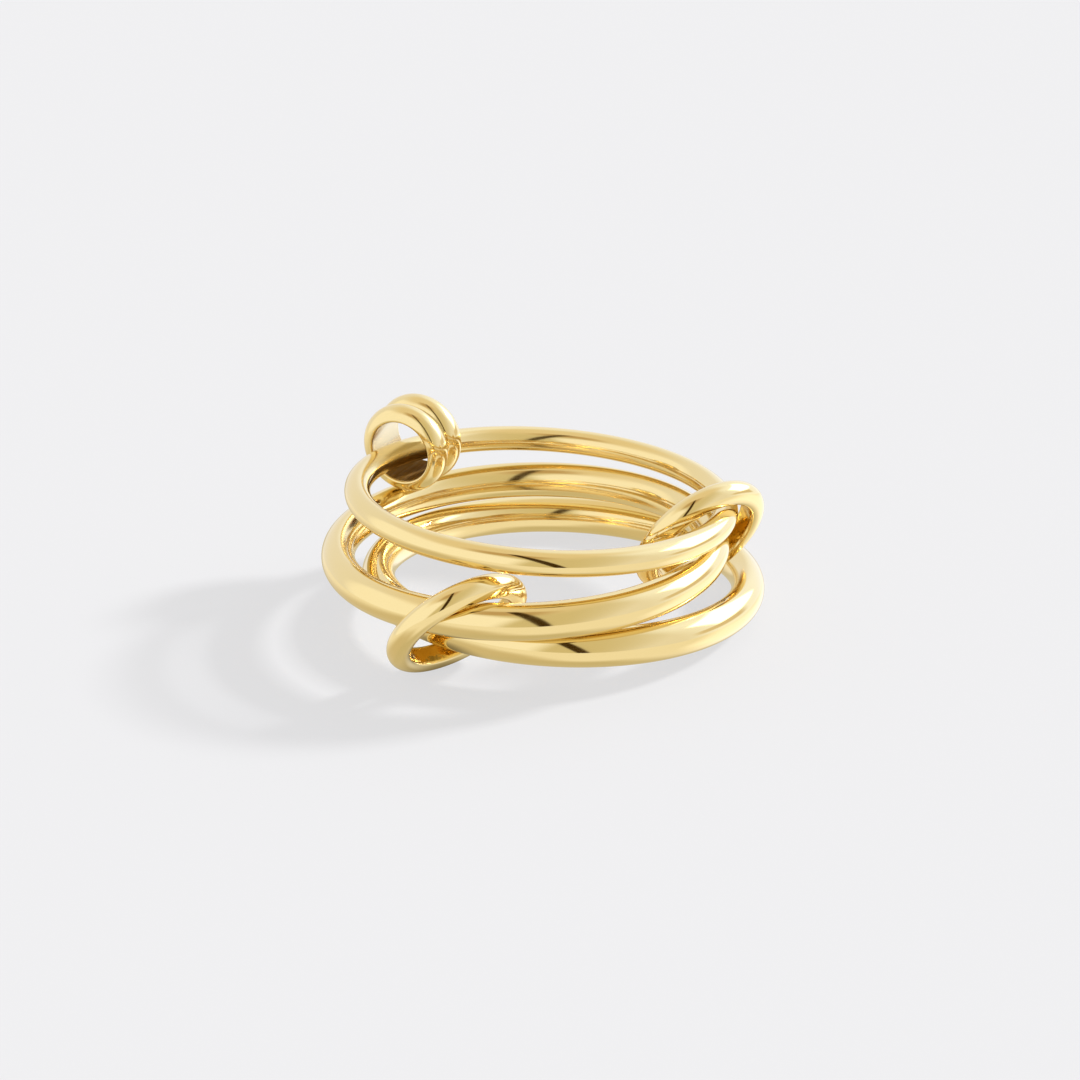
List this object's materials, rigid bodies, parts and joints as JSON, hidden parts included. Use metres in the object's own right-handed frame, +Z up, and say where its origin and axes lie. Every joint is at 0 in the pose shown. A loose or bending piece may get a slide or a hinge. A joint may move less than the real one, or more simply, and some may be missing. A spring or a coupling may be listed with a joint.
{
  "type": "fidget ring",
  "caption": "Finger ring of loosely linked slim bands held by small loop links, with a ridged bead that spins on the thinnest band.",
  "frame": {"origin": "on the table under the middle of the ring's outline, seen from above", "axes": "+Z up, roughly along the finger; +X to the right link's side; -Y towards the front link's side, where the viewer is"},
  "size_m": [0.0226, 0.0221, 0.0094],
  "materials": {
    "gold": "polished yellow gold plating"
  },
  "bodies": {
    "ring": {"band_top": "gold", "band_middle": "gold", "band_bottom": "gold", "link_right": "gold", "link_front": "gold"},
    "bead": {"bead": "gold"}
  },
  "joints": [
    {"name": "bead_spin", "type": "hinge", "parent": "ring", "child": "bead", "pos_m": [-0.00686, 0.00621, 0.00697], "axis": [0.4566, 0.8884, 0.0488], "continuous": true}
  ]
}
